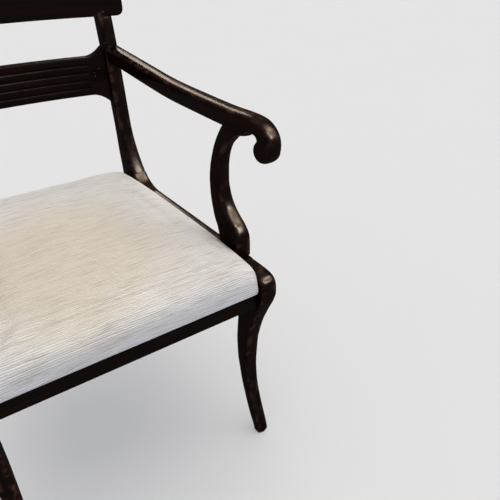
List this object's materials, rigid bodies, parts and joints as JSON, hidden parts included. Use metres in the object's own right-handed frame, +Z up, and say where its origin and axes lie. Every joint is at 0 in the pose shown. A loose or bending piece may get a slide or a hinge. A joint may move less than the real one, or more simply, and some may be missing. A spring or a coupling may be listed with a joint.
{
  "type": "klismos armchair",
  "caption": "Carver dining chair with outswept sabre legs, scrolled arms, a reeded middle rail, a bowed crest rail and a loose upholstered seat that drops in between the rails.",
  "frame": {"origin": "on the floor, under the middle of the chair's bounding box", "axes": "+Z up, +Y towards the chair's back, +X towards the sitter's left"},
  "size_m": [0.5332, 0.6112, 0.865],
  "materials": {
    "mahogany": "very dark polished mahogany, glossy French polish",
    "beech": "plain planed beech, unpolished",
    "linen": "cream ribbed slub weave",
    "jute": "plain jute weave",
    "wadding": "matt cotton wadding over curled hair",
    "cambric": "black dust cloth",
    "steel": "plain steel wood screws, slightly dull"
  },
  "bodies": {
    "frame": {"front_leg_left": "mahogany", "front_leg_right": "mahogany", "rear_post_left": "mahogany", "rear_post_right": "mahogany", "side_rail_left": "mahogany", "side_rail_right": "mahogany", "front_rail": "mahogany", "back_rail": "mahogany", "mid_rail": "mahogany", "crest_rail": "mahogany", "arm_left": "mahogany", "arm_right": "mahogany", "arm_support_left": "mahogany", "arm_support_right": "mahogany", "arm_plug_left": "mahogany", "arm_plug_right": "mahogany", "corner_block_front_left": "beech", "corner_block_front_right": "beech", "corner_block_rear_left": "beech", "corner_block_rear_right": "beech", "seat_batten_left": "beech", "seat_batten_right": "beech", "block_screw_front_rail_left": "steel", "block_screw_front_rail_right": "steel", "block_screw_front_side_left": "steel", "block_screw_front_side_right": "steel", "block_screw_rear_rail_left": "steel", "block_screw_rear_rail_right": "steel", "block_screw_rear_side_left": "steel", "block_screw_rear_side_right": "steel", "batten_screw_1_left": "steel", "batten_screw_1_right": "steel", "batten_screw_2_left": "steel", "batten_screw_2_right": "steel", "batten_screw_3_left": "steel", "batten_screw_3_right": "steel", "support_screw_left": "steel", "support_screw_right": "steel", "arm_screw_left": "steel", "arm_screw_right": "steel"},
    "seat": {"seat_frame_front": "beech", "seat_frame_back": "beech", "seat_frame_left": "beech", "seat_frame_right": "beech", "webbing_long_1": "jute", "webbing_long_2": "jute", "webbing_long_3": "jute", "webbing_long_4": "jute", "webbing_cross_1": "jute", "webbing_cross_2": "jute", "webbing_cross_3": "jute", "hessian": "jute", "dust_cover": "cambric", "seat_cover": "linen", "seat_padding": "wadding"}
  },
  "joints": [
    {"name": "seat_lift", "type": "slide", "parent": "frame", "child": "seat", "axis": [0, 0, 1], "range_m": [0, 0.12]}
  ]
}
